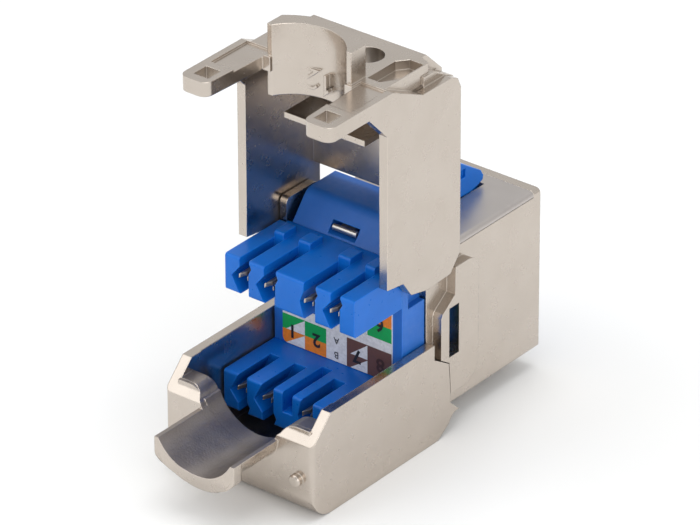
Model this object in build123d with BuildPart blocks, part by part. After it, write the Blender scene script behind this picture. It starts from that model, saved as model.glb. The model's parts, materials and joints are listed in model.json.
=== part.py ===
from build123d import *
import os

# Shielded keystone jack with its cable cover swung open, in millimetres.
# X runs across the jack, Y runs from the cable end to the port face, Z is up.
# Sketches measure Y from the rear wall of the lower shell and Z from the underside of its floor.
# The saved parts have their origin on that underside, halfway along the jack.

os.makedirs("parts", exist_ok=True)

# Lower shell
shell_half = 8.3
wall = 0.9
inner_half = shell_half - wall
rim_z = 10.0
chamfer_size = 2.5
rear_low_z = rim_z - chamfer_size
lip_drop = 0.54
shell_top_y = 17.25
shell_front_y = shell_top_y + 2.35
shell_step_z = 8.5
tongue_length = 1.3
floor_corner = 1.1
ledge_z = 8.6
ledge_inset = 0.1
ledge_reach = 4.5
rear_round = 2.6
corner_round = 0.48
notch_half = 4.06
trough_radius = 4.6
trough_z = 9.27
ladle_radius = 4.45
ladle_z = 7.4
ladle_rim_z = 7.05
ladle_lip_z = 5.0
ladle_length = 6.1
ladle_slant = 0.75
peg_x = inner_half - 0.8
peg_z = 3.9
peg_radius = 0.6
peg_length = 0.65
peg_chamfer = 0.15

# Front housing
seat_gap = 0.1
housing_half = inner_half - seat_gap
housing_wall = 0.75
housing_inner = housing_half - housing_wall
housing_low = 1.9
housing_high = 18.3
housing_rear = shell_top_y + 0.05
block_rear = shell_top_y - 3.25
block_front = housing_rear + 2.6
hump_rear = block_rear + 1.25
hump_crest = hump_rear + 2.15
hump_front = block_front + 1.5
housing_length = 16.7
housing_front = housing_rear + housing_length
housing_base = housing_low + housing_wall
front_wall = 0.95
wall_rear = housing_front - front_wall
plate_thick = 0.5
plate_gap = 0.06
plate_rear = hump_front + 0.3
side_top = housing_high - plate_thick - plate_gap
pad_half = shell_half
pad_high = housing_high - 1.7
pad_low = 4.0
slot_y = shell_front_y + 0.5
pad_front = slot_y + 3.55
pad_corner_low = 2.05
pad_corner_high = 1.5
slot_z = 10.3
slot_length = 1.45
slot_height = 5.0
port_half = housing_inner - 0.15
port_low = housing_low + 1.75
port_high = housing_high - 2.75
lip_half = 4.2
lip_rear = housing_front - 9.4
stop_rear = housing_front - 2.4

# Hinge and cover, drawn open; the cover turns a quarter turn back to close
closed_gap = 0.05
arm_gap = 0.1
cover_rear = block_rear - 3.5
hinge_y = shell_top_y + 1.05
cover_far = hinge_y + 2.55
hinge_z = hinge_y + rim_z + closed_gap - cover_rear
arm_under = hinge_y + hinge_z + arm_gap
arm_thick = 1.4
cover_top = arm_under + arm_thick
side_high = cover_top - 1.95
ceiling_z = arm_under - 0.45
cover_half = shell_half
back_low = hinge_z + 4.3
end_half = inner_half - 0.1
end_far = cover_far - 2.25
hole_width = 1.65
hole_length = 1.75
hole_shift = 0.1
hole_y = peg_z + hinge_y - hinge_z + hole_shift
arm_tip = hole_y - 1.85
arm_root = cover_rear + 0.7
arm_inner_tip = peg_x - 1.3
arm_inner_root = arm_inner_tip - 0.45
arm_round = 0.9
lead_in = 0.6
step_rear = arm_tip + 3.6
step_outer = cover_half - 0.65
pocket_inner = arm_inner_root
pocket_outer = inner_half - 0.2
pocket_depth = 0.9
pocket_rear = cover_rear + 1.6
pocket_far = end_far - 1.6
saddle_half = arm_inner_root - 0.25
saddle_low = arm_under - 2.45
saddle_high = cover_top + 3.05
saddle_rear = cover_rear - 0.3
saddle_apex = saddle_rear + 2.3
saddle_back = saddle_rear + 2.0
saddle_crown = saddle_rear + 3.7
shelf_half = arm_inner_root - 0.4
shelf_rear = cover_rear + 1.7
shelf_low = arm_under - 5.53
shelf_thick = 0.58
hole_d_radius = 1.5
hole_d_y = saddle_crown + 1.6
two_x = -2.0
one_x = 0.3
digit_z = saddle_low + 0.85
digit_high = 1.75
digit_line = 0.26
pin_radius = 0.8
pin_clearance = 0.06
pin_reach = 0.5
ear_inner = housing_inner
ear_rear = hinge_y - 3.3
ear_top = hinge_z + 2.9
ear_front = hinge_y + 3.2
ear_low = 14.6
ear_round = 0.6

# Terminal block and combs
comb_half = inner_half - 0.2
block_low = 1.0
block_half = housing_inner - 0.05
comb_gap = 0.05
outer_finger = 1.59
slot_pitch = 2.87
slot_inner_width = 1.3
slot_outer_width = 1.04
slot_outer = comb_half - outer_finger - slot_outer_width / 2
slot_inner = slot_outer - slot_pitch
upper_front = block_rear - 6.8
upper_high = housing_high + 0.2
upper_low = upper_high - 3.65
upper_root = block_rear - 1.9
upper_fork_z = upper_high - 1.7
root_thick = 0.6
finger_round = 0.28
stop_high = upper_high + 0.65
lower_front = block_rear - 7.2
lower_low = 3.1
lower_high = lower_low + 3.8
lower_root = block_rear - 2.5
lower_fork_z = lower_high - 1.3
recess_width = 1.15
recess_end = block_rear - 1.5
recess_low = lower_high - 2.0
barb_high = 0.9
barb_deep = 2.0
barb = 0.9
barb_centre = 0.42
dent_deep = 0.75
dent = 0.3
hump_half = block_half - 0.4
hump_high = hinge_z + 3.15
hump_round = 1.3
window_left = -2.25
window_right = 0.8
window_low = upper_high + 0.1
window_high = window_low + 1.0
window_end = hump_crest + 0.5
bar_radius = 0.3
bar_y = hump_rear + 0.7
bar_z = window_low + 0.52
label_gap = 0.07
label_half = comb_half - 1.05
label_low = lower_high + label_gap
label_high = upper_low - label_gap
label_thick = 0.15

# Forks
blade_thick = 0.4
tine_half = 0.48
tine_gap = 0.14
tine_point = 0.75
tail_half = 0.3
tail_way_half = 0.4
tail_way_height = 0.6

# Port and circuit board
board_rear = block_front + 0.3
board_thick = 1.1
board_half = housing_inner - 0.25
board_low = housing_base + 0.45
board_high = side_top - 0.84
insert_half = housing_inner - 0.05
insert_rear = board_rear + board_thick + 0.2
insert_front = wall_rear - 0.05
insert_low = housing_base + 0.1
insert_high = side_top - 0.09
mouth_gap = 0.05
plug_half = insert_half - 0.58
plug_low = port_low + 1.65
plug_high = plug_low + 8.2
plug_rear = insert_rear + 1.5
key_half = 3.05
recess_half = 4.45
recess_high = insert_high - 0.95
recess_front = wall_rear - 0.95
port_pitch = 1.02
contact_width = 0.46
contact_high = plug_high + 1.22
contact_tip_z = plug_high - 2.95
contact_thick = 0.35
spring_front = housing_front - 2.0
spring_rear = spring_front - 8.0
spring_low = 8.2
spring_height = 2.8
spring_bow = 0.7
spring_thick = 0.2

# Keystone latch
latch_half = 2.75
latch_gap = 0.1
latch_rear = plate_rear + 0.7
latch_nose = wall_rear - 1.5
latch_crest = latch_nose - 3.35
latch_high = 21.85
latch_web = 0.8
latch_side = 0.85

middle_y = (housing_front - ladle_length) / 2


def save(part, name):
    placed = part.moved(Location((0, -middle_y, 0)))
    placed.label = name
    export_step(placed, "parts/" + name + ".step")


# Lower shell: a trough with a chamfered rear wall, notch, cable ladle and two pegs
with BuildPart() as lower_shell:
    with BuildSketch(Plane.YZ.offset(-shell_half)):
        with BuildLine():
            Polyline(
                (0, rear_round),
                (0, rear_low_z),
                (chamfer_size, rim_z),
                (shell_top_y, rim_z),
                (shell_top_y, shell_step_z),
                (shell_front_y - 0.25, shell_step_z - tongue_length),
                (shell_front_y, pad_low + 0.4),
                (shell_front_y, housing_low + 1.2),
                (shell_front_y + tongue_length, housing_low),
            )
            ThreePointArc(
                (shell_front_y + tongue_length, housing_low),
                (shell_front_y + 0.32, housing_low - 0.18),
                (shell_front_y - 0.15, floor_corner),
            )
            Polyline((shell_front_y - 0.15, floor_corner), (shell_front_y - 1.8, 0), (rear_round, 0))
            RadiusArc((rear_round, 0), (0, rear_round), rear_round)
        make_face()
    extrude(amount=2 * shell_half)
    # Rounded rear corners
    with BuildSketch(Plane.XY.offset(-1)):
        with Locations((0, 2 * shell_half)):
            RectangleRounded(2 * shell_half, 4 * shell_half, corner_round)
    extrude(amount=rim_z + 2, mode=Mode.INTERSECT)
    # Inside of the trough, under the sloping lip
    lip_front = wall + chamfer_size + lip_drop
    trough_front = shell_top_y + 0.05
    with BuildSketch(Plane.YZ.offset(-inner_half)):
        with BuildLine():
            Polyline(
                (wall, wall + floor_corner),
                (wall, rear_low_z - lip_drop),
                (lip_front, rim_z),
                (lip_front, rim_z + 1),
                (trough_front, rim_z + 1),
                (trough_front, wall),
                (wall + floor_corner, wall),
                close=True,
            )
        make_face()
    extrude(amount=2 * inner_half, mode=Mode.SUBTRACT)
    # Seat of the front housing between the side walls
    with BuildSketch(Plane.XY.offset(housing_low)):
        with Locations((0, shell_top_y + housing_length / 2)):
            Rectangle(2 * housing_half, housing_length)
    extrude(amount=rim_z, mode=Mode.SUBTRACT)
    # Flat ledges beside the notch
    with BuildSketch(Plane.XY.offset(ledge_z)):
        Rectangle(2 * (inner_half - ledge_inset), 2 * ledge_reach)
    extrude(amount=rim_z - ledge_z + 1, mode=Mode.SUBTRACT)
    # Half round cable ladle with a slanted end
    with BuildSketch(Plane.XZ):
        with Locations((0, ladle_z)):
            Circle(ladle_radius)
        with Locations((0, ladle_rim_z + ladle_radius)):
            Rectangle(4 * ladle_radius, 2 * ladle_radius, mode=Mode.SUBTRACT)
    extrude(amount=ladle_length)
    with BuildSketch(Plane.YZ.offset(-2 * ladle_radius)):
        with BuildLine():
            Polyline(
                (-ladle_length - 1, ladle_lip_z),
                (-ladle_length, ladle_lip_z),
                (-ladle_length + ladle_slant, ladle_z - ladle_radius),
                (-ladle_length + ladle_slant, ladle_z - ladle_radius - 1),
                (-ladle_length - 1, ladle_z - ladle_radius - 1),
                close=True,
            )
        make_face()
    extrude(amount=4 * ladle_radius, mode=Mode.SUBTRACT)
    # Cable trough along the ladle and through the rear wall
    with BuildSketch(Plane.XZ.offset(-ledge_reach)):
        with Locations((0, trough_z)):
            Circle(trough_radius)
        with Locations((0, trough_z + trough_radius / 2)):
            Rectangle(2 * notch_half, trough_radius)
        with Locations((0, trough_z)):
            Rectangle(2 * notch_half, 4 * trough_radius, mode=Mode.INTERSECT)
    extrude(amount=ledge_reach + ladle_length + 1, mode=Mode.SUBTRACT)
    # Catch pegs, bevelled at the ends
    for side in (-1, 1):
        with BuildSketch(Plane.XZ.offset(-wall / 2)):
            with Locations((side * peg_x, peg_z)):
                Circle(peg_radius)
        extrude(amount=wall / 2 + peg_length - peg_chamfer)
        with BuildSketch(Plane.XZ.offset(peg_length - peg_chamfer)):
            with Locations((side * peg_x, peg_z)):
                Circle(peg_radius)
        extrude(amount=peg_chamfer, taper=45)
save(lower_shell.part, "lower_shell")

# Front housing: a box open to the rear with the port opening, pads, slots and ears
with BuildPart() as front_housing:
    with BuildSketch(Plane.XZ.offset(-housing_front)):
        with Locations((0, (housing_low + housing_high) / 2)):
            RectangleRounded(2 * housing_half, housing_high - housing_low, corner_round)
    extrude(amount=housing_front - housing_rear)
    with BuildSketch(Plane.XY.offset(side_top)):
        with Locations((0, wall_rear / 2)):
            Rectangle(4 * housing_half, wall_rear)
    extrude(amount=housing_high, mode=Mode.SUBTRACT)
    with BuildSketch(Plane.XY.offset(housing_base)):
        with Locations((0, wall_rear / 2)):
            Rectangle(2 * housing_inner, wall_rear)
    extrude(amount=housing_high, mode=Mode.SUBTRACT)
    # Port opening in the front wall
    with BuildSketch(Plane.XZ.offset(-housing_front - 1)):
        with Locations((0, (port_low + port_high) / 2)):
            Rectangle(2 * port_half, port_high - port_low)
    extrude(amount=front_wall + 2, mode=Mode.SUBTRACT)
    # Raised side pads, cut back clear of the swinging cover and stepped over the shell
    for side in (-1, 1):
        with BuildSketch(Plane.YZ.offset(side * (housing_half + pad_half) / 2)):
            with BuildLine():
                Polyline(
                    (slot_y + 0.2, pad_high),
                    (slot_y + 0.15, pad_high - 2.7),
                    (hinge_y + 0.15, 12.6),
                    (hinge_y - 0.05, 12.2),
                    (hinge_y - 0.05, 8.0),
                    (shell_front_y - 0.15, shell_step_z - tongue_length + 0.05),
                    (shell_front_y + 0.1, pad_low),
                    (pad_front - pad_corner_low, pad_low),
                )
                ThreePointArc(
                    (pad_front - pad_corner_low, pad_low),
                    (pad_front - 0.65, pad_low + 0.6),
                    (pad_front, pad_low + pad_corner_low),
                )
                Line((pad_front, pad_low + pad_corner_low), (pad_front, pad_high - pad_corner_high))
                ThreePointArc(
                    (pad_front, pad_high - pad_corner_high),
                    (pad_front - 0.45, pad_high - 0.45),
                    (pad_front - pad_corner_high, pad_high),
                )
                Line((pad_front - pad_corner_high, pad_high), (slot_y + 0.2, pad_high))
            make_face()
        extrude(amount=(pad_half - housing_half) / 2, both=True)
    # Slots through pads and side walls
    with BuildSketch(Plane.YZ.offset(-2 * pad_half)):
        with Locations((slot_y, slot_z)):
            Rectangle(slot_length, slot_height)
    extrude(amount=4 * pad_half, mode=Mode.SUBTRACT)
    # Hinge ears with flat tops
    for side in (-1, 1):
        with BuildSketch(Plane.YZ.offset(side * (ear_inner + housing_half) / 2)) as ear:
            with BuildLine():
                Polyline(
                    (ear_rear, hinge_z - 0.6),
                    (ear_rear, ear_top),
                    (hinge_y + 0.9, ear_top),
                    (ear_front, side_top),
                    (ear_front, ear_low),
                    (housing_rear, ear_low),
                    (housing_rear, ear_low + 0.8),
                    close=True,
                )
            make_face()
            fillet(ear.vertices().group_by(Axis.Y)[-1], radius=ear_round)
        extrude(amount=(housing_half - ear_inner) / 2, both=True)
    with BuildSketch(Plane.YZ.offset(-2 * housing_half)):
        with Locations((hinge_y, hinge_z)):
            Circle(pin_radius)
    extrude(amount=4 * housing_half, mode=Mode.SUBTRACT)
    # Fixed catch lips under the floor
    with BuildSketch(Plane.YZ.offset(-lip_half)):
        with BuildLine():
            Polyline(
                (lip_rear, housing_low + 0.2),
                (lip_rear, 0.9),
                (lip_rear + 0.6, 0),
                (lip_rear + 2, 0),
                (lip_rear + 2, housing_low + 0.2),
                close=True,
            )
        make_face()
    extrude(amount=2 * lip_half)
    with BuildSketch(Plane.YZ.offset(-lip_half)):
        with BuildLine():
            Polyline(
                (stop_rear, housing_low + 0.2),
                (stop_rear, 0.6),
                (stop_rear + 1, 0.6),
                (stop_rear + 1.6, housing_low + 0.2),
                close=True,
            )
        make_face()
    extrude(amount=2 * lip_half)
save(front_housing.part, "front_housing")

# Top plate with rounded long edges and an opening under the latch
with BuildPart() as top_plate:
    with BuildSketch(Plane.XZ.offset(-plate_rear)):
        with Locations((0, housing_high - plate_thick / 2)):
            Rectangle(2 * housing_half, plate_thick)
    extrude(amount=-(wall_rear - 0.03 - plate_rear))
    long_edges = top_plate.edges().filter_by(Axis.Y).group_by(Axis.Z)[-1]
    fillet(long_edges, radius=0.42)
    with BuildSketch(Plane.XY.offset(housing_high - 2 * plate_thick)):
        with Locations((0, (plate_rear + latch_nose - 1) / 2)):
            Rectangle(2 * (latch_half + latch_gap), latch_nose + 1 - plate_rear)
    extrude(amount=4 * plate_thick, mode=Mode.SUBTRACT)
save(top_plate.part, "top_plate")

# Hinged cover, drawn standing open
with BuildPart() as hinged_cover:
    # Side walls
    with BuildSketch(Plane.YZ.offset(-cover_half)):
        with BuildLine():
            Polyline(
                (arm_tip + 3.2, cover_top),
                (arm_tip + 3.2, arm_under),
                (cover_rear - 2.5, arm_under),
                (cover_rear, arm_under - 2.6),
                (cover_rear, hinge_z + 0.7),
                (cover_rear + 2.25, hinge_z + 0.4),
                (hinge_y - 4.4, hinge_z - 1.2),
                (hinge_y - 2.2, hinge_z - 1.7),
                (hinge_y + 1.2, hinge_z - 1.55),
                (cover_far, hinge_z + 0.1),
                (cover_far, side_high - 1.4),
                (cover_far - 0.45, side_high - 0.4),
                (cover_far - 1.35, side_high),
                (cover_rear + 5, side_high),
                (arm_root, cover_top),
                close=True,
            )
        make_face()
    extrude(amount=2 * cover_half)
    # End wall, narrower and higher than the side walls
    with BuildSketch(Plane.XY.offset(arm_under - 0.4)):
        with BuildLine():
            Polyline(
                (-end_half, cover_rear + 0.1),
                (-end_half, end_far - 1.1),
                (-pocket_inner, end_far),
                (pocket_inner, end_far),
                (end_half, end_far - 1.1),
                (end_half, cover_rear + 0.1),
                close=True,
            )
        make_face()
    extrude(amount=arm_thick + 0.4)
    with BuildSketch(Plane.YZ.offset(-pocket_outer + 1)):
        with BuildLine():
            Polyline(
                (end_far - 0.6, cover_top),
                (end_far, cover_top),
                (cover_far, side_high - 0.2),
                (cover_far, side_high - 1.7),
                (end_far - 0.6, side_high - 1.7),
                close=True,
            )
        make_face()
    extrude(amount=2 * (pocket_outer - 1))
    # Lower shoulder between the end wall and the side walls
    with BuildSketch(Plane.YZ.offset(-inner_half - 0.1)):
        with BuildLine():
            Polyline(
                (end_far - 2, ceiling_z - 0.1),
                (end_far - 2, cover_top - pocket_depth - 0.1),
                (end_far - 0.6, cover_top - pocket_depth - 0.1),
                (cover_far - 0.1, side_high - 0.5),
                (cover_far - 0.1, ceiling_z - 2),
                (end_far, ceiling_z - 0.1),
                close=True,
            )
        make_face()
    extrude(amount=2 * inner_half + 0.2)
    # Hollow between the side walls
    with BuildSketch(Plane.YZ.offset(-inner_half)):
        with BuildLine():
            Polyline(
                (0, arm_under),
                (cover_rear + 0.1, arm_under),
                (cover_rear + 1.1, ceiling_z),
                (cover_far - wall, ceiling_z),
                (cover_far - wall, back_low),
                (cover_far + 2, back_low),
                (cover_far + 2, rim_z),
                (0, rim_z),
                close=True,
            )
        make_face()
    extrude(amount=2 * inner_half, mode=Mode.SUBTRACT)
    # Clear the middle of the wall's rear top, where the arms and the saddle stand
    with BuildSketch(Plane.XY.offset(arm_under - 0.5)):
        with Locations((0, (cover_rear - 0.6) / 2)):
            Rectangle(2 * inner_half, cover_rear - 0.6)
    extrude(amount=arm_thick + 1, mode=Mode.SUBTRACT)
    # Catch arms with tapered inner sides, holes and lead in ramps under the tips
    hole_end = hole_y - hole_length / 2
    for side in (-1, 1):
        with BuildSketch(Plane.XY.offset(arm_under)) as arm:
            with BuildLine():
                Polyline(
                    (side * arm_inner_tip, arm_tip),
                    (side * cover_half, arm_tip),
                    (side * cover_half, arm_root),
                    (side * arm_inner_root, arm_root),
                    close=True,
                )
            make_face()
            fillet(arm.vertices().group_by(Axis.Y)[0], radius=arm_round)
        extrude(amount=arm_thick)
        with BuildSketch(Plane.XY.offset(arm_under - 1)):
            with Locations((side * peg_x, hole_y)):
                Rectangle(hole_width, hole_length)
        extrude(amount=arm_thick + 2, mode=Mode.SUBTRACT)
        with BuildSketch(Plane.YZ.offset(side * peg_x)):
            with BuildLine():
                Polyline(
                    (hole_end + 0.1, arm_under - 0.1),
                    (hole_end + 0.1, arm_under + lead_in),
                    (hole_end, arm_under + lead_in),
                    (hole_end - 1.4 * lead_in, arm_under - 0.1),
                    close=True,
                )
            make_face()
        extrude(amount=hole_width / 2, both=True, mode=Mode.SUBTRACT)
        # Shallow step on the arm's outer face, behind the hole
        with BuildSketch(Plane.XY.offset(cover_top - 0.2)):
            with Locations((side * (pocket_inner + step_outer) / 2, (step_rear + arm_root) / 2)):
                Rectangle(step_outer - pocket_inner, arm_root - step_rear)
        extrude(amount=1, mode=Mode.SUBTRACT)
        # Groove in the end wall beside the arm's root
        with BuildSketch(Plane.XY.offset(cover_top - pocket_depth)) as groove:
            with BuildLine():
                Polyline(
                    (side * pocket_inner, pocket_rear),
                    (side * pocket_inner, pocket_far - 1),
                    (side * (pocket_inner + 0.8), pocket_far),
                    (side * pocket_outer, pocket_far),
                    (side * pocket_outer, pocket_rear + 1.5),
                    (side * (pocket_outer - 1), pocket_rear),
                    close=True,
                )
            make_face()
        extrude(amount=2, mode=Mode.SUBTRACT)
        # D shaped hole beside the saddle
        with BuildSketch(Plane.XY.offset(ceiling_z - 1)):
            with Locations((side * 2.25, hole_d_y)):
                Circle(hole_d_radius)
            with Locations((side * 0.35, hole_d_y)):
                Rectangle(1.1, 4, mode=Mode.SUBTRACT)
        extrude(amount=4, mode=Mode.SUBTRACT)
    # Upper cable saddle, curved on both faces
    land = saddle_half - 0.5
    with BuildSketch(Plane.XY.offset(saddle_low)):
        with BuildLine():
            Polyline((-saddle_half, saddle_back), (-saddle_half, saddle_rear), (-land, saddle_rear))
            ThreePointArc((-land, saddle_rear), (0, saddle_apex), (land, saddle_rear))
            Polyline((land, saddle_rear), (saddle_half, saddle_rear), (saddle_half, saddle_back))
            ThreePointArc((saddle_half, saddle_back), (0, saddle_crown), (-saddle_half, saddle_back))
        make_face()
    extrude(amount=saddle_high - saddle_low)
    with BuildSketch(Plane.XY.offset(saddle_low - 1)):
        with BuildLine():
            Polyline(
                (-land, saddle_rear),
                (-land, saddle_rear - 1),
                (land, saddle_rear - 1),
                (land, saddle_rear),
            )
            ThreePointArc((land, saddle_rear), (0, saddle_apex), (-land, saddle_rear))
        make_face()
    extrude(amount=saddle_high - saddle_low + 2, mode=Mode.SUBTRACT)
    # Shelf across the inside of the lid
    with BuildSketch(Plane.XY.offset(shelf_low)):
        with Locations((0, (shelf_rear + cover_far - wall / 2) / 2)):
            Rectangle(2 * shelf_half, cover_far - wall / 2 - shelf_rear)
    extrude(amount=shelf_thick)
    # Hinge holes, blind from the inside
    for side in (-1, 1):
        with BuildSketch(Plane.YZ.offset(side * (inner_half - 0.1))):
            with Locations((hinge_y, hinge_z)):
                Circle(pin_radius + pin_clearance)
        extrude(amount=side * (pin_reach + 0.2), mode=Mode.SUBTRACT)
    # Plain raised mould number on the saddle, upside down while the cover stands open
    with BuildSketch(Plane.XZ.offset(-saddle_apex - 0.1)):
        with BuildLine():
            Polyline(
                (two_x + 1.2, digit_z + 0.3),
                (two_x + 0.85, digit_z),
                (two_x + 0.3, digit_z),
                (two_x, digit_z + 0.3),
                (two_x, digit_z + 0.7),
                (two_x + 1.2, digit_z + digit_high),
                (two_x - 0.05, digit_z + digit_high),
            )
        trace(line_width=digit_line)
    extrude(amount=0.45)
    with BuildSketch(Plane.XZ.offset(-saddle_apex)):
        with BuildLine():
            Polyline((one_x + 0.35, digit_z + 0.35), (one_x, digit_z), (one_x, digit_z + digit_high))
        trace(line_width=digit_line)
    extrude(amount=0.55)
save(hinged_cover.part, "hinged_cover")

# Hinge pins, held in the ears and running in the cover's blind holes
for side, name in ((-1, "hinge_pin_left"), (1, "hinge_pin_right")):
    with BuildPart() as hinge_pin:
        with BuildSketch(Plane.YZ.offset(side * ear_inner)):
            with Locations((hinge_y, hinge_z)):
                Circle(pin_radius)
        extrude(amount=side * (inner_half + pin_reach - ear_inner))
        end_edge = hinge_pin.edges().filter_by(GeomType.CIRCLE).sort_by(Axis.X)
        chamfer(end_edge[-1] if side > 0 else end_edge[0], length=0.15)
    save(hinge_pin.part, name)

# Terminal block: the label wall, its tongue inside the housing and the hump
with BuildPart() as terminal_block:
    wall_front = shell_top_y - 0.1
    root_z = upper_high - root_thick
    with BuildSketch(Plane.XY.offset(block_low)):
        with Locations((0, (block_rear + wall_front) / 2)):
            Rectangle(2 * comb_half, wall_front - block_rear)
    extrude(amount=root_z - block_low)
    with BuildSketch(Plane.XY.offset(housing_base + 0.05)):
        with Locations((0, (wall_front - 0.1 + block_front) / 2)):
            Rectangle(2 * block_half, block_front - wall_front + 0.1)
    extrude(amount=root_z - 0.8 - housing_base - 0.05)
    with BuildSketch(Plane.YZ.offset(-hump_half)) as hump_side:
        with BuildLine():
            Polyline(
                (hump_rear, root_z - 1.4),
                (hump_rear, root_z + 0.5),
                (hump_crest, hump_high),
                (hump_front, hump_high),
                (hump_front, root_z + 0.5),
                (block_front, root_z - 0.8),
                (block_front, root_z - 1.4),
                close=True,
            )
        make_face()
        fillet(hump_side.vertices().group_by(Axis.Y)[-1].sort_by(Axis.X)[0], radius=hump_round)
    extrude(amount=2 * hump_half)
    # Room for the hinge ears
    for side in (-1, 1):
        with BuildSketch(Plane.XY.offset(ear_low - 0.2)):
            with Locations((side * (block_half + 0.5), ear_rear + 2)):
                Rectangle(1.0, 4.3)
        extrude(amount=8, mode=Mode.SUBTRACT)
    # Window for the ground clip
    with BuildSketch(Plane.XZ.offset(-hump_rear + 0.2)):
        with Locations(((window_left + window_right) / 2, (window_low + window_high) / 2)):
            Rectangle(window_right - window_left, window_high - window_low)
    extrude(amount=-(window_end - hump_rear + 0.2), mode=Mode.SUBTRACT)
    # Ways for the contact tails
    for height in (upper_fork_z, lower_fork_z):
        with BuildSketch(Plane.XZ.offset(-block_rear + 1)):
            for centre in (slot_inner, slot_outer):
                with Locations((-centre, height), (centre, height)):
                    Rectangle(2 * tail_way_half, tail_way_height)
        extrude(amount=block_rear - 2 - block_front, mode=Mode.SUBTRACT)
save(terminal_block.part, "terminal_block")

# Ground clip: a round bar across the window with a flat tail
with BuildPart() as ground_clip:
    bar_left = window_left + 0.3
    with BuildSketch(Plane.YZ.offset(bar_left)):
        with Locations((bar_y, bar_z)):
            Circle(bar_radius)
    extrude(amount=window_right - 0.1 - bar_left)
    with BuildSketch(Plane.XY.offset(bar_z - bar_radius / 2)):
        with Locations(((window_left + window_right) / 2, (bar_y + window_end) / 2)):
            Rectangle(1.4, window_end - 0.1 - bar_y)
    extrude(amount=bar_radius)
save(ground_clip.part, "ground_clip")

# Wiring label on the wall between the combs
with BuildPart() as wiring_label:
    with BuildSketch(Plane.XZ.offset(-block_rear)):
        with Locations((0, (label_low + label_high) / 2)):
            RectangleRounded(2 * label_half, label_high - label_low, 0.55)
    extrude(amount=label_thick)
save(wiring_label.part, "wiring_label")


def finger(left, right, open_z, root_z, dent_size, barb_size):
    # One finger seen from the rear, with a dent on its left and a barbed notch on its right
    turn = 1 if open_z > root_z else -1
    return [
        (left, open_z),
        (left + dent_size, open_z - turn * dent_deep),
        (left, open_z - turn * (dent_deep + 0.55)),
        (left, root_z),
        (right, root_z),
        (right - barb_size, open_z - turn * barb_deep),
        (right, open_z - turn * barb_high),
        (right, open_z),
    ]


def fingers(open_z, root_z):
    inner_low = slot_inner - slot_inner_width / 2
    inner_high = slot_inner + slot_inner_width / 2
    outer_low = slot_outer - slot_outer_width / 2
    outer_high = slot_outer + slot_outer_width / 2
    return [
        finger(-comb_half, -outer_high, open_z, root_z, 0, barb),
        finger(-outer_low, -inner_high, open_z, root_z, dent, barb),
        finger(-inner_low, inner_low, open_z, root_z, dent, barb_centre),
        finger(inner_high, outer_low, open_z, root_z, dent, barb),
        finger(outer_high, comb_half, open_z, root_z, dent, 0),
    ]


slots = ((slot_inner, slot_inner_width), (slot_outer, slot_outer_width))

# Combs: barbed fingers along Y with rounded ends, the slots between them end at a solid root
# The upper comb has a raised block at the end of each slot
with BuildPart() as upper_comb:
    with BuildSketch(Plane.XZ.offset(-upper_front)):
        for outline in fingers(upper_high, upper_low):
            with BuildLine():
                Polyline(*outline, close=True)
            make_face()
    extrude(amount=-(upper_root + 0.1 - upper_front))
    with BuildSketch(Plane.YZ.offset(-comb_half)) as end_round:
        with Locations(((upper_front + block_rear) / 2, (upper_low + upper_high) / 2)):
            Rectangle(block_rear - upper_front, upper_high - upper_low)
        fillet(end_round.vertices().group_by(Axis.X)[0], radius=finger_round)
    extrude(amount=2 * comb_half, mode=Mode.INTERSECT)
    with BuildSketch(Plane.XY.offset(upper_low)):
        with Locations((0, (upper_root + block_rear) / 2)):
            Rectangle(2 * comb_half, block_rear - upper_root)
    extrude(amount=upper_high - upper_low)
    with BuildSketch(Plane.XY.offset(upper_high - root_thick + comb_gap)):
        with Locations((0, (upper_root + 1 + hump_rear - comb_gap) / 2)):
            Rectangle(2 * comb_half, hump_rear - comb_gap - upper_root - 1)
        for side in (-1, 1):
            with Locations((side * (block_half + 0.5), ear_rear + 2)):
                Rectangle(1.0, 4.3, mode=Mode.SUBTRACT)
    extrude(amount=root_thick - comb_gap)
    for centre, width in slots:
        for side in (-1, 1):
            with BuildSketch(Plane.YZ.offset(side * centre - width / 2)) as stop_block:
                with Locations((upper_root + 0.9, (upper_fork_z + 0.9 + stop_high) / 2)):
                    Rectangle(1.8, stop_high - upper_fork_z - 0.9)
                fillet(stop_block.vertices().group_by(Axis.X)[0].sort_by(Axis.Y)[-1], radius=finger_round)
            extrude(amount=width)
    with BuildSketch(Plane.XZ.offset(-upper_root + 0.6)):
        for centre, width in slots:
            with Locations((-centre, upper_fork_z), (centre, upper_fork_z)):
                Rectangle(2 * tine_half + 0.08, tail_way_height)
    extrude(amount=-4, mode=Mode.SUBTRACT)
save(upper_comb.part, "upper_comb")

# The lower comb has a blind recess in its wide centre finger
with BuildPart() as lower_comb:
    with BuildSketch(Plane.XZ.offset(-lower_front)):
        for outline in fingers(lower_low, lower_high):
            with BuildLine():
                Polyline(*outline, close=True)
            make_face()
    extrude(amount=-(lower_root + 0.1 - lower_front))
    with BuildSketch(Plane.YZ.offset(-comb_half)) as end_round:
        with Locations(((lower_front + block_rear) / 2, (lower_low + lower_high) / 2)):
            Rectangle(block_rear - lower_front, lower_high - lower_low)
        fillet(end_round.vertices().group_by(Axis.X)[0], radius=finger_round)
    extrude(amount=2 * comb_half, mode=Mode.INTERSECT)
    with BuildSketch(Plane.XY.offset(lower_low)):
        with Locations((0, (lower_root + block_rear) / 2)):
            Rectangle(2 * comb_half, block_rear - lower_root)
    extrude(amount=lower_high - lower_low)
    with BuildSketch(Plane.XY.offset(recess_low)):
        with Locations((0, recess_end / 2)):
            Rectangle(recess_width, recess_end)
    extrude(amount=lower_high, mode=Mode.SUBTRACT)
    with BuildSketch(Plane.XZ.offset(-lower_root + 0.5)):
        for centre, width in slots:
            with Locations((-centre, lower_fork_z), (centre, lower_fork_z)):
                Rectangle(2 * tine_half + 0.08, tail_way_height)
    extrude(amount=-4, mode=Mode.SUBTRACT)
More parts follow.
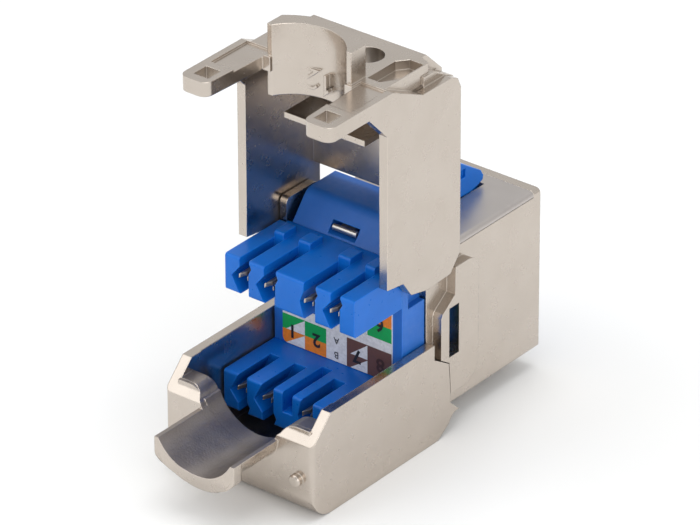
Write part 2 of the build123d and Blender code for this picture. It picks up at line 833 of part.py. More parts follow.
save(lower_comb.part, "lower_comb")


def fork_contact(centre, height, front, root, name):
    # Flat fork with pointed tines round the slot's middle and a tail to the circuit board
    with BuildPart() as fork:
        with BuildSketch(Plane.XY.offset(height - blade_thick / 2)):
            with BuildLine():
                Polyline(
                    (centre - tine_half, root),
                    (centre - tine_half, front),
                    (centre - tine_gap, front + tine_point),
                    (centre - tine_gap, root - 0.9),
                    (centre + tine_gap, root - 0.9),
                    (centre + tine_gap, front + tine_point),
                    (centre + tine_half, front),
                    (centre + tine_half, root),
                    (centre + tail_half, root + 0.3),
                    (centre + tail_half, board_rear - 0.05),
                    (centre - tail_half, board_rear - 0.05),
                    (centre - tail_half, root + 0.3),
                    close=True,
                )
            make_face()
        extrude(amount=blade_thick)
    save(fork.part, name)


for number, centre in enumerate((-slot_outer, -slot_inner, slot_inner, slot_outer), 1):
    fork_contact(centre, upper_fork_z, upper_front - 0.1, upper_root + 0.5, f"upper_fork_{number}")
    fork_contact(centre, lower_fork_z, lower_front - 0.1, lower_root + 0.5, f"lower_fork_{number}")

# Circuit board between the terminal block and the port insert
with BuildPart() as circuit_board:
    with BuildSketch(Plane.XZ.offset(-board_rear)):
        with Locations((0, (board_low + board_high) / 2)):
            RectangleRounded(2 * board_half, board_high - board_low, 0.5)
        with Locations((1.1 - board_half, board_high - 1.7), (board_half - 1.1, board_high - 1.7)):
            Circle(0.5, mode=Mode.SUBTRACT)
    extrude(amount=-board_thick)
save(circuit_board.part, "circuit_board")

# Port insert with the plug cavity, the latch notch and the contact recess
with BuildPart() as port_insert:
    with BuildSketch(Plane.XZ.offset(-insert_rear)):
        with Locations((0, (insert_low + insert_high) / 2)):
            Rectangle(2 * insert_half, insert_high - insert_low)
    extrude(amount=-(insert_front - insert_rear))
    with BuildSketch(Plane.XZ.offset(-insert_front + 0.1)):
        with Locations((0, (port_low + port_high) / 2)):
            Rectangle(2 * (port_half - mouth_gap), port_high - port_low - 2 * mouth_gap)
    extrude(amount=-(housing_front - insert_front))
    with BuildSketch(Plane.XZ.offset(-plug_rear)):
        with Locations((0, (plug_low + plug_high) / 2)):
            Rectangle(2 * plug_half, plug_high - plug_low)
        with Locations((0, plug_low - 0.55)):
            Rectangle(2 * key_half, 1.2)
    extrude(amount=-housing_front, mode=Mode.SUBTRACT)
    with BuildSketch(Plane.XZ.offset(-recess_front + 0.7)):
        with Locations((0, plug_low - 1.1)):
            Rectangle(key_half + 0.35, 0.6)
    extrude(amount=-housing_front, mode=Mode.SUBTRACT)
    # Recess over the cavity for the carrier and the contact wires
    with BuildSketch(Plane.XY.offset(plug_high - 0.1)):
        with Locations((0, (insert_rear - 1 + recess_front) / 2)):
            Rectangle(2 * recess_half, recess_front - insert_rear + 1)
    extrude(amount=recess_high - plug_high + 0.1, mode=Mode.SUBTRACT)
    # Side windows for the shield springs
    with BuildSketch(Plane.YZ.offset(-2 * insert_half)):
        with Locations(((spring_rear + spring_front) / 2, spring_low + spring_height / 2)):
            Rectangle(spring_front - spring_rear + 0.4, spring_height + 0.4)
    extrude(amount=4 * insert_half, mode=Mode.SUBTRACT)
save(port_insert.part, "port_insert")

# Contact carrier with a groove for each contact
with BuildPart() as contact_carrier:
    with BuildSketch(Plane.XZ.offset(-insert_rear - 0.2)):
        with Locations((0, (contact_high - 0.02 + recess_high - 0.1) / 2)):
            Rectangle(2 * recess_half - 0.1, recess_high - 0.1 - contact_high + 0.02)
        for index in range(8):
            with Locations(((index - 3.5) * port_pitch, contact_high + 0.23)):
                Rectangle(contact_width + 0.12, 0.62, mode=Mode.SUBTRACT)
    extrude(amount=-3.2)
save(contact_carrier.part, "contact_carrier")

# Eight port contacts, each a bent spring wire
for index in range(8):
    x_left = (index - 3.5) * port_pitch - contact_width / 2
    contact_low = contact_high - contact_thick
    contact_rear = board_rear + board_thick + 0.03
    with BuildPart() as port_contact:
        with BuildSketch(Plane.YZ.offset(x_left)):
            with BuildLine():
                Polyline(
                    (contact_rear, contact_high),
                    (recess_front - 1.2, contact_high),
                    (recess_front - 0.75, contact_high - 0.42),
                    (recess_front - 0.95, contact_high - 0.97),
                    (plug_rear + 3.2, contact_tip_z),
                    (plug_rear + 2, contact_tip_z),
                    (plug_rear + 2, contact_tip_z + contact_thick),
                    (plug_rear + 3.1, contact_tip_z + contact_thick),
                    (recess_front - 1.5, contact_high - 0.82),
                    (recess_front - 1.35, contact_high - 0.52),
                    (recess_front - 1.45, contact_low),
                    (contact_rear, contact_low),
                    close=True,
                )
            make_face()
        extrude(amount=contact_width)
    save(port_contact.part, f"port_contact_{index + 1}")

# Shield springs: bowed strips in the side windows of the port
for side, name in ((-1, "shield_spring_left"), (1, "shield_spring_right")):
    spring_x = insert_half - 0.05
    bow_x = spring_x - spring_bow
    with BuildPart() as shield_spring:
        with BuildSketch(Plane.XY.offset(spring_low)):
            with BuildLine():
                Polyline(
                    (side * spring_x, spring_rear),
                    (side * spring_x, spring_front),
                    (side * (spring_x - 0.18), spring_front),
                    (side * bow_x, spring_front - 2.7),
                    (side * bow_x, spring_rear + 2.7),
                    (side * (spring_x - 0.18), spring_rear),
                    close=True,
                )
            make_face()
            with BuildLine():
                Polyline(
                    (side * (spring_x + 0.01), spring_rear + 1.4),
                    (side * (spring_x + 0.01), spring_front - 1.4),
                    (side * (bow_x + spring_thick), spring_front - 2.8),
                    (side * (bow_x + spring_thick), spring_rear + 2.8),
                    close=True,
                )
            make_face(mode=Mode.SUBTRACT)
        extrude(amount=spring_height)
    save(shield_spring.part, name)

# Keystone latch: a hollow wedge that dips into the opening of the top plate
with BuildPart() as keystone_latch:
    with BuildSketch(Plane.YZ.offset(-latch_half)):
        with BuildLine():
            Polyline(
                (latch_nose - 0.02, housing_high + 0.9),
                (latch_nose - 0.4, housing_high + 1.55),
                (latch_crest, latch_high - 0.1),
                (latch_rear, latch_high),
                (latch_rear, latch_high - 1.1),
                (latch_nose - 5.6, housing_high + 0.45),
                (latch_nose - 4, housing_high + 0.1),
                (latch_nose - 2.2, housing_high - 0.06),
                (latch_nose - 0.9, housing_high + 0.17),
                (latch_nose - 0.1, housing_high + 0.48),
                close=True,
            )
        make_face()
    extrude(amount=2 * latch_half)
    # Hollow under the web, between the two side cheeks
    with BuildSketch(Plane.YZ.offset(latch_side - latch_half)):
        with BuildLine():
            Polyline(
                (latch_rear - 1, latch_high - latch_web),
                (latch_crest - 0.3, latch_high - latch_web - 0.1),
                (latch_nose - 2.2, housing_high + 1.7),
                (latch_nose - 2.2, housing_high - 1),
                (latch_rear - 1, housing_high - 1),
                close=True,
            )
        make_face()
    extrude(amount=2 * (latch_half - latch_side), mode=Mode.SUBTRACT)
    # Shallow recess in each cheek
    for side in (-1, 1):
        with BuildSketch(Plane.YZ.offset(side * (latch_half - 0.3))):
            with Locations((latch_crest - 0.6, housing_high + 2.25)):
                Rectangle(2.6, 0.9)
        extrude(amount=side, mode=Mode.SUBTRACT)
save(keystone_latch.part, "keystone_latch")
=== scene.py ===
import json
import math

import bmesh
import bpy
from mathutils import Matrix, Vector


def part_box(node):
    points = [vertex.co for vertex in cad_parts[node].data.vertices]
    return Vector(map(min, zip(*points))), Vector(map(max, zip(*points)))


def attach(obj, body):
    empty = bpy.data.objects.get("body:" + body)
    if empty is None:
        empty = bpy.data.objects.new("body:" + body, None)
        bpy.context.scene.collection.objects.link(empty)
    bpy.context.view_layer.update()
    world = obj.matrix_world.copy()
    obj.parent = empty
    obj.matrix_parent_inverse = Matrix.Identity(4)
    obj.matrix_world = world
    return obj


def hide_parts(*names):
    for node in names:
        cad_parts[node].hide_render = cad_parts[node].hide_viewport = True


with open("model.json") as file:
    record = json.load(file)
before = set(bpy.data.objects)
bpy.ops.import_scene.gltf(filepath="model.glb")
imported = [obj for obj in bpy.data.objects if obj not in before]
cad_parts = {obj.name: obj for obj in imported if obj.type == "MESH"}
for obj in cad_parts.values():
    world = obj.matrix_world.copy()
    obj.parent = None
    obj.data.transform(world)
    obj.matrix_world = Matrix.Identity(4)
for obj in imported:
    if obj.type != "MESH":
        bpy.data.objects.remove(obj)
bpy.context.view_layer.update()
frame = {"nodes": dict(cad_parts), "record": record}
nodes = frame["nodes"]
MM = 0.001


# Materials

class Graph:
    """Short calls that add nodes to one material and link them."""

    def __init__(self, name):
        self.mat = bpy.data.materials.new(name)
        self.mat.use_nodes = True
        self.tree = self.mat.node_tree
        self.tree.nodes.clear()
        self.coords = self.node("ShaderNodeTexCoord").outputs["Object"]

    def node(self, kind, **values):
        made = self.tree.nodes.new(kind)
        for key, value in values.items():
            setattr(made, key, value)
        return made

    def link(self, start, end):
        self.tree.links.new(start, end)

    def noise(self, size_mm, detail=3.0, rough=0.55, stretch=(1, 1, 1)):
        mapping = self.node("ShaderNodeMapping")
        mapping.inputs["Scale"].default_value = [s / (size_mm * MM) for s in stretch]
        self.link(self.coords, mapping.inputs["Vector"])
        made = self.node("ShaderNodeTexNoise")
        made.inputs["Scale"].default_value = 1.0
        made.inputs["Detail"].default_value = detail
        made.inputs["Roughness"].default_value = rough
        self.link(mapping.outputs["Vector"], made.inputs["Vector"])
        return made.outputs["Fac"]

    def spread(self, value, low, high, to_low=0.0, to_high=1.0):
        made = self.node("ShaderNodeMapRange")
        made.inputs["From Min"].default_value = low
        made.inputs["From Max"].default_value = high
        made.inputs["To Min"].default_value = to_low
        made.inputs["To Max"].default_value = to_high
        self.link(value, made.inputs["Value"])
        return made.outputs["Result"]

    def mix(self, factor, first, second):
        made = self.node("ShaderNodeMix", data_type="RGBA")
        self.link(factor, made.inputs["Factor"])
        for socket, value in ((made.inputs[6], first), (made.inputs[7], second)):
            if isinstance(value, tuple):
                socket.default_value = (*value, 1)
            else:
                self.link(value, socket)
        return made.outputs[2]

    def edges(self, width_mm):
        # A rounded normal, and a mask that is 1 on edges and 0 on flat faces
        bevel = self.node("ShaderNodeBevel", samples=8)
        bevel.inputs["Radius"].default_value = width_mm * MM
        geometry = self.node("ShaderNodeNewGeometry")
        dot = self.node("ShaderNodeVectorMath", operation="DOT_PRODUCT")
        self.link(bevel.outputs["Normal"], dot.inputs[0])
        self.link(geometry.outputs["Normal"], dot.inputs[1])
        return bevel.outputs["Normal"], self.spread(dot.outputs["Value"], 0.995, 0.80)

    def shelter(self, reach_mm):
        # 1 on open faces, towards 0 inside a hollow
        made = self.node("ShaderNodeAmbientOcclusion", samples=8)
        made.inputs["Distance"].default_value = reach_mm * MM
        return made.outputs["AO"]

    def math(self, operation, first, second):
        made = self.node("ShaderNodeMath", operation=operation)
        for socket, value in zip(made.inputs, (first, second)):
            self.link(value, socket)
        return made.outputs["Value"]

    def add(self, first, second):
        return self.math("ADD", first, second)

    def times(self, first, second):
        return self.math("MULTIPLY", first, second)

    def bump(self, heights, normal=None):
        # Each height is a value, its strength and its depth in millimetres
        for value, strength, depth in heights:
            made = self.node("ShaderNodeBump")
            made.inputs["Strength"].default_value = strength
            made.inputs["Distance"].default_value = depth * MM
            self.link(value, made.inputs["Height"])
            if normal is not None:
                self.link(normal, made.inputs["Normal"])
            normal = made.outputs["Normal"]
        return normal

    def surface(self, colour, roughness, normal=None, **numbers):
        bsdf = self.node("ShaderNodeBsdfPrincipled")
        self.link(colour, bsdf.inputs["Base Color"])
        self.link(roughness, bsdf.inputs["Roughness"])
        if normal is not None:
            self.link(normal, bsdf.inputs["Normal"])
        for key, value in numbers.items():
            bsdf.inputs[key.replace("_", " ")].default_value = value
        out = self.node("ShaderNodeOutputMaterial")
        self.link(bsdf.outputs["BSDF"], out.inputs["Surface"])
        return self.mat


def shade(colour, factor):
    return tuple(min(1.0, c * factor) for c in colour)


def metal(name, light, dark, rough, grain_mm=0.12, grain_depth=0.004, grain_strength=0.08,
          spots=True, round_mm=0.12, dull=0.22):
    # A plated casting with pits, edges lighter partly from edge wear and partly as painted highlight, and
    # painted shade in its hollows, which are also duller and grainier
    g = Graph(name)
    tone = g.mix(g.spread(g.noise(3.2, 2.0), 0.3, 0.7), dark, light)
    if spots:
        pits = g.spread(g.noise(0.30, 1.0, stretch=(1, 1.2, 1)), 0.79, 0.85)
        tone = g.mix(pits, tone, shade(dark, 0.87))
    # Painted shade: an ambient-occlusion mask darkens the colour in hollows; the same mask also makes them
    # rougher and grainier
    hollow_shade_and_dull = g.spread(g.shelter(5.0), 0.60, 0.25)
    tone = g.mix(hollow_shade_and_dull, tone, shade(dark, 0.85))
    rounded, edge = g.edges(round_mm)
    # Partly edge wear, partly painted highlight: the colour is lighter along edges
    tone = g.mix(edge, tone, shade(light, 1.15))
    polished = g.spread(g.noise(1.4, 3.0), 0.3, 0.7, rough - 0.03, rough + 0.04)
    roughness = g.add(polished, g.spread(hollow_shade_and_dull, 0.0, 1.0, 0.0, dull))
    cast = g.times(g.noise(0.16, 1.0), hollow_shade_and_dull)
    heights = [
        (g.noise(5.0, 1.0), 0.10, 0.03),
        (g.noise(grain_mm, 2.0), grain_strength, grain_depth),
        (cast, 0.6, 0.02),
    ]
    return g.surface(tone, roughness, g.bump(heights, rounded), Metallic=1.0)


def plastic(name, light, dark, rough=0.32, depth=0.25, ior=1.45):
    g = Graph(name)
    tone = g.mix(g.spread(g.noise(2.6, 2.0), 0.3, 0.7), dark, light)
    rounded, edge = g.edges(0.16)
    # Painted highlight: the colour is lighter along edges
    tone = g.mix(edge, tone, tuple(min(1.0, c * 1.2 + 0.01) for c in light))
    roughness = g.spread(g.noise(0.5, 3.0), 0.3, 0.7, rough - 0.05, rough + 0.08)
    heights = [(g.noise(1.8, 2.0), 0.2, 0.03), (g.noise(0.09, 2.0), depth, 0.003)]
    return g.surface(
        tone, roughness, g.bump(heights, rounded), IOR=ior,
        Subsurface_Weight=0.12, Subsurface_Radius=(0.3, 0.5, 1.0), Subsurface_Scale=0.5 * MM,
    )


def ink(name, colour):
    g = Graph(name)
    faded = tuple(c * 0.82 + 0.01 for c in colour)
    tone = g.mix(g.spread(g.noise(0.25, 2.0), 0.35, 0.7), colour, faded)
    roughness = g.spread(g.noise(0.4, 2.0), 0.3, 0.7, 0.42, 0.55)
    return g.surface(tone, roughness, g.bump([(g.noise(0.15, 1.0), 0.2, 0.004)]))


NICKEL_TONES = ((0.59, 0.527, 0.467), (0.56, 0.497, 0.437))
nickel = metal("nickel", *NICKEL_TONES, 0.25)
housing_nickel = metal("housing_nickel", *NICKEL_TONES, 0.25, dull=0.0)
shell_nickel = metal("shell_nickel", *NICKEL_TONES, 0.25, round_mm=0.15)
# Painted shade: a darker copy of the nickel for the channel and the ledges, which is also rougher and
# grainier
shaded_cast_nickel = metal(
    "shaded_cast_nickel", (0.38, 0.335, 0.31), (0.33, 0.29, 0.265), 0.38,
    grain_mm=0.2, grain_depth=0.03, grain_strength=0.7,
)
plate_nickel = metal("plate_nickel", (0.55, 0.51, 0.485), (0.52, 0.48, 0.455), 0.36, grain_mm=0.16)
steel = metal("steel", (0.74, 0.72, 0.69), (0.62, 0.60, 0.57), 0.3, grain_mm=0.2)
pin_steel = metal("pin_steel", (0.84, 0.81, 0.76), (0.74, 0.71, 0.66), 0.2)
tin = metal("tin", (0.60, 0.55, 0.47), (0.47, 0.42, 0.34), 0.3, grain_mm=0.08)
gold = metal("gold", (0.86, 0.62, 0.26), (0.74, 0.50, 0.18), 0.22, spots=False)
blue = plastic("blue", (0.003, 0.155, 0.63), (0.002, 0.135, 0.56), ior=1.38)
block_blue = plastic("block_blue", (0.006, 0.150, 0.60), (0.005, 0.130, 0.53), 0.5, depth=0.5, ior=1.6)
insert_blue = plastic("insert_blue", (0.004, 0.145, 0.58), (0.003, 0.120, 0.50), 0.38)
charcoal = plastic("charcoal", (0.035, 0.036, 0.04), (0.025, 0.026, 0.03), 0.42)
green_board = plastic("green_board", (0.03, 0.19, 0.07), (0.02, 0.15, 0.05), 0.35)
paper = ink("paper", (0.88, 0.88, 0.90))

LOOKS = {
    "nickel_casting": nickel,
    "blue_plastic": blue,
    "dark_plastic": charcoal,
    "spring_steel": steel,
    "tin_bronze": tin,
    "gold_plating": gold,
    "board_green": green_board,
    "label_white": paper,
}
SPECIAL = {
    "top_plate": plate_nickel,
    "lower_shell": shell_nickel,
    "front_housing": housing_nickel,
    "terminal_block": block_blue,
    "hinge_pin_left": pin_steel,
    "hinge_pin_right": pin_steel,
    "port_insert": insert_blue,
}
for part in frame["record"]["subparts"]:
    shown = nodes[part["node"]]
    shown.data.materials.clear()
    shown.data.materials.append(SPECIAL.get(part["node"], LOOKS[part["material_slot"]]))


# Shared shapes, in millimetres

def arc(cx, cz, radius, start, end, steps):
    points = []
    for step in range(steps + 1):
        angle = math.radians(start + (end - start) * step / steps)
        points.append((cx + radius * math.cos(angle), cz + radius * math.sin(angle)))
    return points


def mirrored(outline):
    return [(-x, z) for x, z in outline]


def new_object(name, mesh):
    made = bpy.data.objects.new(name, mesh)
    bpy.context.scene.collection.objects.link(made)
    return made


def prism(name, outlines, y0, y1):
    # Closed prisms along Y from outlines in X and Z
    mesh = bpy.data.meshes.new(name)
    work = bmesh.new()
    for outline in outlines:
        near = [work.verts.new((x * MM, y0 * MM, z * MM)) for x, z in outline]
        far = [work.verts.new((x * MM, y1 * MM, z * MM)) for x, z in outline]
        work.faces.new(near)
        work.faces.new(far[::-1])
        for i, corner in enumerate(near):
            j = (i + 1) % len(near)
            work.faces.new((near[j], corner, far[i], far[j]))
    bmesh.ops.recalc_face_normals(work, faces=work.faces)
    work.to_mesh(mesh)
    work.free()
    return new_object(name, mesh)


def smooth_by_angle(mesh, degrees):
    work = bmesh.new()
    work.from_mesh(mesh)
    for face in work.faces:
        face.smooth = True
    for edge in work.edges:
        edge.smooth = len(edge.link_faces) == 2 and edge.calc_face_angle() < math.radians(degrees)
    work.to_mesh(mesh)
    work.free()


def evaluated_mesh(source):
    bpy.context.view_layer.update()
    return bpy.data.meshes.new_from_object(source.evaluated_get(bpy.context.evaluated_depsgraph_get()))


def reshaped(name, node, tools):
    # A copy of a node's mesh, welded and then changed by each tool's Boolean operation
    made = new_object(name, node.data.copy())
    made.matrix_world = node.matrix_world.copy()
    work = bmesh.new()
    work.from_mesh(made.data)
    bmesh.ops.remove_doubles(work, verts=work.verts, dist=0.0005 * MM)
    work.to_mesh(made.data)
    work.free()
    for tool, operation in tools:
        change = made.modifiers.new(tool.name, "BOOLEAN")
        change.operation = operation
        change.solver = "EXACT"
        change.object = tool
    mesh = evaluated_mesh(made)
    made.modifiers.clear()
    made.data = mesh
    for tool, operation in tools:
        bpy.data.objects.remove(tool)
    smooth_by_angle(mesh, 30)
    return made


# The lower shell, with the notch's rounded shoulders, the thick channel and the ladle's lip

tip_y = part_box("lower_shell")[0].y / MM
LADLE_LENGTH = 6.1
rear_y = tip_y + LADLE_LENGTH
AXIS_Z, CHANNEL_R, LEDGE_Z = 9.27, 4.6, 8.6
# Half width of the notch and drop below the ledge, down the rounded shoulder
SHOULDER = ((5.9, 0.0), (5.6, 0.07), (5.3, 0.17), (5.05, 0.30), (4.84, 0.47), (4.67, 0.68), (4.54, 0.92))


def notch_cutter():
    slack, over = 0.02, 0.03
    side_top, side_low, top = 7.5, 7.09, 9.4
    outline = [(-x, LEDGE_Z + slack - drop) for x, drop in SHOULDER]
    for step in range(8):
        z = side_top + (side_low - side_top) * step / 7
        outline.append((-math.sqrt((CHANNEL_R + over) ** 2 - (AXIS_Z - z) ** 2), z))
    outline += [(-3.0, side_low), (-3.0, top), (-5.9, top)]
    return prism("notch_cutter", [outline, mirrored(outline)], rear_y - 0.3, rear_y + 4.3)


LIP_DEPTH = 1.05


def ladle_undercut():
    # Behind the lip the ladle's wall follows the channel
    wall_r, half_width, low = 5.35, 4.9, 2.5
    wall = arc(0, AXIS_Z, wall_r, 216.5, 323.5, 24)
    around = [(half_width, wall[-1][1]), (half_width, low), (-half_width, low), (-half_width, wall[0][1])]
    return prism("ladle_undercut", [wall + around], tip_y + LIP_DEPTH, rear_y - 0.02)


def lip_sides():
    # The lip's upright sides, with the tip's slant below the height where it turns
    turn_z, slant = 5.0, 0.366
    right_side = [
        (4.2, 7.045), (4.45, 7.045), (4.45, 5.5), (4.36, 5.22), (4.1, 4.88), (3.7, 4.5),
        (3.2, 4.12), (2.7, 3.83), (2.5, 4.0), (3.3, 4.9), (3.9, 6.0),
    ]
    made = prism("lip_sides", [right_side, mirrored(right_side)], tip_y, tip_y + LIP_DEPTH)
    for vertex in made.data.vertices:
        if vertex.co.y < (tip_y + LIP_DEPTH / 2) * MM:
            vertex.co.y += slant * max(0.0, turn_z * MM - vertex.co.z)
    return made


def channel_block():
    half_width, floor_z, slack = 7.38, 0.92, 0.01
    left_side = [(-half_width, LEDGE_Z - 2 * slack)] + [(-x, LEDGE_Z - drop - slack) for x, drop in SHOULDER]
    left_side += arc(0, AXIS_Z, CHANNEL_R + slack, 201, 270, 18)
    outline = left_side + mirrored(left_side[-2::-1]) + [(half_width, floor_z), (-half_width, floor_z)]
    return prism("channel_block", [outline], rear_y + 0.7, rear_y + 2.8)


def dress_shell(mesh):
    # Rough, grainy nickel, darker as painted shade, on the ledges and on the faces that look at the
    # channel's axis
    mesh.materials.clear()
    mesh.materials.append(shell_nickel)
    mesh.materials.append(shaded_cast_nickel)
    for face in mesh.polygons:
        inward = Vector((-face.center.x, 0, AXIS_Z * MM - face.center.z))
        near = inward.length < 6.1 * MM and face.center.z < LEDGE_Z * MM
        channel = near and face.normal.dot(inward.normalized()) > 0.3
        ledge = face.normal.z > 0.9 and abs(face.center.z - LEDGE_Z * MM) < 0.05 * MM
        face.material_index = int(channel or ledge)


shell = reshaped("shell_with_notch", nodes["lower_shell"], (
    (notch_cutter(), "DIFFERENCE"),
    (ladle_undercut(), "DIFFERENCE"),
    (lip_sides(), "UNION"),
    (channel_block(), "UNION"),
))
dress_shell(shell.data)
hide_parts("lower_shell")
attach(shell, "jack")


# Pieces of print on the wiring label

def label_piece(name, mesh):
    piece = new_object(name, mesh)
    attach(piece, "jack")


def flat_piece(name, faces, materials, y):
    # Faces are outlines in X and Z, each with the number of its material
    mesh = bpy.data.meshes.new(name)
    work = bmesh.new()
    for outline, index in faces:
        made = work.faces.new([work.verts.new((px * MM, y * MM, pz * MM)) for px, pz in outline])
        made.material_index = index
    work.normal_update()
    for made in work.faces:
        if made.normal.y > 0:
            made.normal_flip()
    work.to_mesh(mesh)
    work.free()
    for mat in materials:
        mesh.materials.append(mat)
    label_piece(name, mesh)


label_low, label_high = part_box("wiring_label")
label_front = label_low.y / MM
label_left, label_right, label_base = label_low.x / MM, label_high.x / MM, label_low.z / MM

COLUMNS = (label_left, -3.62, -1.2, 1.13, 3.45, label_right)
ROWS = tuple(label_base + rise for rise in (0, 1.4, 2.93, 3.98, 5.45, 6.93))
LOWER_ROW, UPPER_ROW = 0, 3
GREEN, ORANGE, BROWN, BLUE, WHITE, BLACK, GREY, UMBER = range(8)
inks = [
    ink("ink_green", (0.0, 0.43, 0.10)),
    ink("ink_orange", (0.98, 0.27, 0.02)),
    ink("ink_brown", (0.16, 0.07, 0.055)),
    ink("ink_blue", (0.02, 0.12, 0.5)),
    paper,
    ink("ink_black", (0.012, 0.012, 0.014)),
    ink("ink_grey", (0.09, 0.09, 0.10)),
    ink("ink_umber", (0.06, 0.022, 0.016)),
]
# For each column the two colours of its lower field, those of its upper field, and white wedges or none
FIELDS = (
    ((ORANGE, GREEN), (BLUE, BLUE), True),
    ((ORANGE, GREEN), (BLUE, BLUE), False),
    None,
    ((BROWN, BROWN), (GREEN, ORANGE), True),
    ((BROWN, BROWN), (GREEN, ORANGE), False),
)


def field_outline(x0, x1, z0, z1):
    # The two outer lower corners follow the label's rounded corners
    radius, near = 0.55, 0.001
    at_base = z0 <= label_base + near
    outline = []
    if at_base and x0 <= label_left + near:
        outline += arc(x0 + radius, z0 + radius, radius, 180, 270, 6)
    else:
        outline.append((x0, z0))
    if at_base and x1 >= label_right - near:
        outline += arc(x1 - radius, z0 + radius, radius, 270, 360, 6)
    else:
        outline.append((x1, z0))
    return outline + [(x1, z1), (x0, z1)]


fields, wedges = [], []
for column, field in enumerate(FIELDS):
    if field is None:
        continue
    lower_pair, upper_pair, has_wedges = field
    x0, x1 = COLUMNS[column], COLUMNS[column + 1]
    for row, pair in ((LOWER_ROW, lower_pair), (UPPER_ROW, upper_pair)):
        for step, colour in enumerate(pair):
            z0, z1 = ROWS[row + step], ROWS[row + step + 1]
            fields.append((field_outline(x0, x1, z0, z1), colour))
            if has_wedges:
                wedges.append(([(x0 + 0.4, z0 + 0.02), (x1, z0 + 0.02), (x1, z1 - 0.05)], WHITE))

flat_piece("label_fields", fields, inks, label_front - 0.012)
flat_piece("label_wedges", wedges, inks, label_front - 0.020)


def character(name, text, height, x, z, mat, weight):
    # One printed character, upside down as on the label
    cap_height = 0.7
    curve = bpy.data.curves.new(name, "FONT")
    curve.body = text
    curve.size = height * MM / cap_height
    curve.align_x = "CENTER"
    curve.align_y = "CENTER"
    curve.offset = weight * MM
    curve.resolution_u = 6
    source = new_object(name, curve)
    mesh = evaluated_mesh(source)
    bpy.data.objects.remove(source)
    turn = Matrix.Rotation(math.pi, 4, "Y") @ Matrix.Rotation(math.pi / 2, 4, "X")
    place = Matrix.Translation(Vector((x, label_front - 0.028, z)) * MM)
    mesh.transform(place @ turn)
    mesh.materials.clear()
    mesh.materials.append(mat)
    label_piece(name, mesh)


DIGIT, LETTER, RAISE = 1.3, 0.66, 0.02
centres = [(COLUMNS[i] + COLUMNS[i + 1]) / 2 for i in range(5)]
# Each digit with its column, its row, its shift and its ink
for text, column, row, shift, colour in (
    ("1", 0, LOWER_ROW, -0.15, BLACK),
    ("2", 1, LOWER_ROW, 0.1, BLACK),
    ("7", 3, LOWER_ROW, 0.0, BLACK),
    ("8", 4, LOWER_ROW, 0.1, UMBER),
    ("5", 0, UPPER_ROW, 0.0, BLACK),
    ("4", 1, UPPER_ROW, 0.0, BLACK),
    ("3", 3, UPPER_ROW, 0.0, BLACK),
    ("6", 4, UPPER_ROW, 0.0, BLACK),
):
    middle = ROWS[row + 1] + RAISE
    character(f"print_{text}", text, DIGIT, centres[column] + shift, middle, inks[colour], 0.05)
for row, place in ((LOWER_ROW, "lower"), (UPPER_ROW, "upper")):
    for step, text in enumerate("BA"):
        middle = (ROWS[row + step] + ROWS[row + step + 1]) / 2
        character(f"print_{place}_{text}", text, LETTER, centres[2], middle, inks[GREY], 0.01)


# Camera of the photograph

AZIMUTH, ELEVATION, ROLL = (math.radians(angle) for angle in (38.369, 29.242, -0.194))
DISTANCE, FOCAL_PIXELS, PICTURE_WIDTH, SENSOR = 550.457 * MM, 6244.105, 700, 36
AIM, SHIFT_RIGHT, SHIFT_UP = Vector((0, 0.05, 14)) * MM, 1.083 * MM, 2.614 * MM
back = Vector((
    math.sin(AZIMUTH) * math.cos(ELEVATION),
    -math.cos(AZIMUTH) * math.cos(ELEVATION),
    math.sin(ELEVATION),
))
across = Vector((math.cos(AZIMUTH), math.sin(AZIMUTH), 0))
upward = back.cross(across)
right_axis = across * math.cos(ROLL) + upward * math.sin(ROLL)
up_axis = upward * math.cos(ROLL) - across * math.sin(ROLL)
target = AIM + right_axis * SHIFT_RIGHT + up_axis * SHIFT_UP
lens = bpy.data.cameras.new("camera")
lens.sensor_width = SENSOR
lens.lens = FOCAL_PIXELS * SENSOR / PICTURE_WIDTH
lens.clip_start, lens.clip_end = 0.01, 10
camera = new_object("camera", lens)
view = Matrix((right_axis, up_axis, back)).transposed().to_4x4()
view.translation = target + back * DISTANCE
camera.matrix_world = view
bpy.context.scene.camera = camera


# Floor, world and lamps

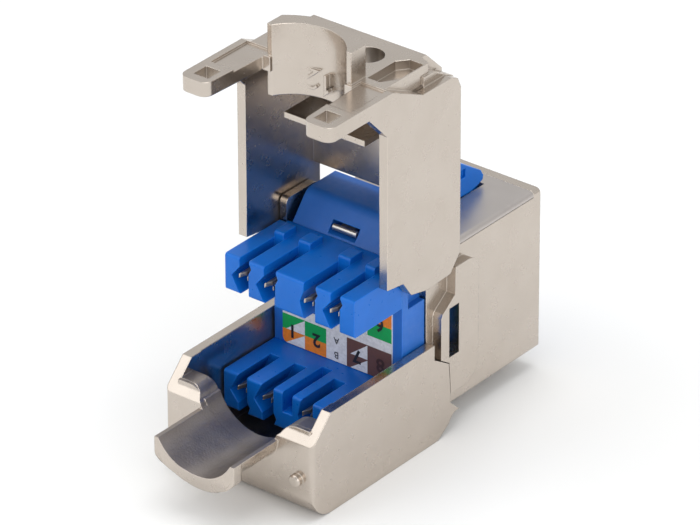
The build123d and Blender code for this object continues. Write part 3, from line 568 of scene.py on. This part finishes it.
def floor_material():
    g = Graph("floor_white")
    tone = g.mix(g.spread(g.noise(60, 2.0), 0.3, 0.7), (0.93, 0.93, 0.925), (0.95, 0.95, 0.945))
    roughness = g.spread(g.noise(20, 2.0), 0.3, 0.7, 0.85, 0.95)
    return g.surface(tone, roughness, IOR=1.3)


floor_mesh = bpy.data.meshes.new("floor")
work = bmesh.new()
bmesh.ops.create_grid(work, x_segments=4, y_segments=4, size=1.5)
work.to_mesh(floor_mesh)
work.free()
floor_mesh.materials.append(floor_material())
floor = new_object("floor", floor_mesh)
floor.location.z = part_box("lower_shell")[0].z - 0.02 * MM


HORIZON, ZENITH = (0.78, 0.78, 0.775, 1), (0.70, 0.71, 0.72, 1)
LAMP_TARGET = Vector((0, 0, 0.015))


def world_light():
    world = bpy.data.worlds.new("world")
    bpy.context.scene.world = world
    world.use_nodes = True
    tree = world.node_tree
    tree.nodes.clear()
    coords = tree.nodes.new("ShaderNodeTexCoord")
    split = tree.nodes.new("ShaderNodeSeparateXYZ")
    tree.links.new(coords.outputs["Generated"], split.inputs["Vector"])
    ramp = tree.nodes.new("ShaderNodeValToRGB")
    ramp.color_ramp.elements[0].position = 0.0
    ramp.color_ramp.elements[0].color = HORIZON
    ramp.color_ramp.elements[1].position = 1.0
    ramp.color_ramp.elements[1].color = ZENITH
    tree.links.new(split.outputs["Z"], ramp.inputs["Fac"])
    sky = tree.nodes.new("ShaderNodeBackground")
    sky.inputs["Strength"].default_value = 1.0
    tree.links.new(ramp.outputs["Color"], sky.inputs["Color"])
    out = tree.nodes.new("ShaderNodeOutputWorld")
    tree.links.new(sky.outputs["Background"], out.inputs["Surface"])


def lamp(name, position, size, watts):
    light = bpy.data.lights.new(name, "AREA")
    light.shape = "RECTANGLE"
    light.size, light.size_y = size
    light.energy = watts
    made = new_object(name, light)
    made.location = position
    aim = LAMP_TARGET - made.location
    made.rotation_mode = "QUATERNION"
    made.rotation_quaternion = aim.to_track_quat("-Z", "Y")


world_light()
lamp("key", Vector((-0.43, -0.39, 0.56)), (0.55, 0.55), 1.0)
lamp("fill", Vector((0.60, -0.35, 0.30)), (0.6, 0.5), 1.35)
lamp("top", Vector((0.0, 0.05, 0.80)), (0.5, 0.5), 1.9)

bpy.context.scene.view_settings.view_transform = "Standard"
